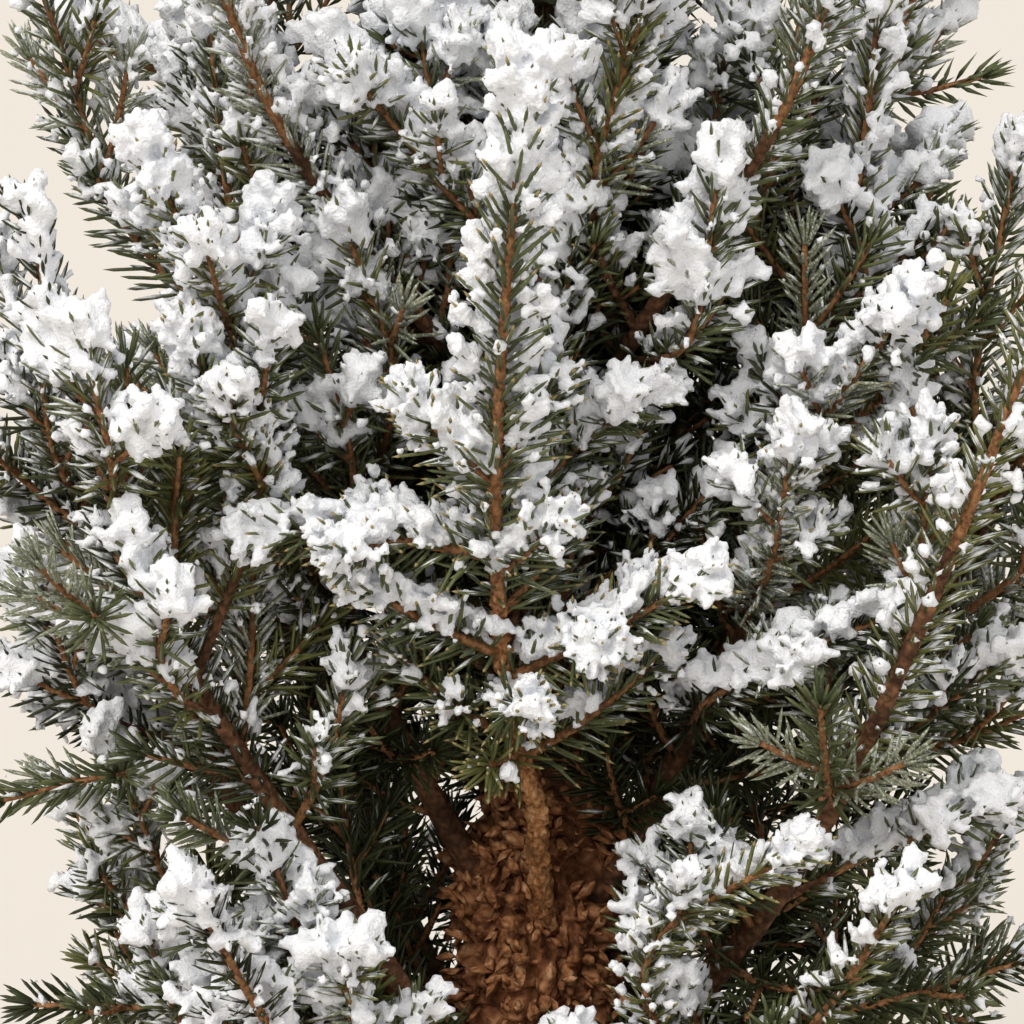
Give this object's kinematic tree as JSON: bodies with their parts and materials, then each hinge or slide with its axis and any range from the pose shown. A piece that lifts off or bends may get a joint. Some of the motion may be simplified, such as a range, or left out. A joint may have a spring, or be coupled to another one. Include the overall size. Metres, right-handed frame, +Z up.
{
  "type": "potted dwarf spruce",
  "caption": "Snow-dusted dwarf spruce of upswept boughs round a short shaggy trunk, standing in a plain tapered clay pot.",
  "frame": {"origin": "centre of the pot's flat underside", "axes": "+Z up along the trunk, -Y towards the front, where the trunk shows between the boughs, +X to the right of that front"},
  "size_m": [0.3673, 0.3332, 0.804],
  "materials": {
    "pot": "unglazed fired clay",
    "soil": "moist peaty compost",
    "bark": "scaly reddish-brown bark",
    "foliage": "blue-green needles under powdery snow"
  },
  "bodies": {
    "root": {"clay_pot": "pot", "potting_soil": "soil", "trunk": "bark", "bough_skirt_1": "bark", "bough_skirt_2": "bark", "bough_skirt_3": "bark", "bough_skirt_4": "bark", "bough_skirt_5": "bark", "bough_skirt_6": "bark", "bough_outer_1": "bark", "bough_outer_2": "bark", "bough_outer_3": "bark", "bough_outer_4": "bark", "bough_outer_5": "bark", "bough_outer_6": "bark", "bough_outer_7": "bark", "bough_inner_1": "bark", "bough_inner_2": "bark", "bough_inner_3": "bark", "bough_inner_4": "bark", "bough_inner_5": "bark", "bough_upper_1": "bark", "bough_upper_2": "bark", "bough_upper_3": "bark", "bough_upper_4": "bark", "bough_upper_5": "bark", "bough_high_1": "bark", "bough_high_2": "bark", "bough_high_3": "bark", "bough_high_4": "bark", "foliage_skirt_1": "foliage", "foliage_skirt_2": "foliage", "foliage_skirt_3": "foliage", "foliage_skirt_4": "foliage", "foliage_skirt_5": "foliage", "foliage_skirt_6": "foliage", "foliage_outer_1": "foliage", "foliage_outer_2": "foliage", "foliage_outer_3": "foliage", "foliage_outer_4": "foliage", "foliage_outer_5": "foliage", "foliage_outer_6": "foliage", "foliage_outer_7": "foliage", "foliage_inner_1": "foliage", "foliage_inner_2": "foliage", "foliage_inner_3": "foliage", "foliage_inner_4": "foliage", "foliage_inner_5": "foliage", "foliage_upper_1": "foliage", "foliage_upper_2": "foliage", "foliage_upper_3": "foliage", "foliage_upper_4": "foliage", "foliage_upper_5": "foliage", "foliage_high_1": "foliage", "foliage_high_2": "foliage", "foliage_high_3": "foliage", "foliage_high_4": "foliage", "foliage_top": "foliage"}
  },
  "joints": []
}
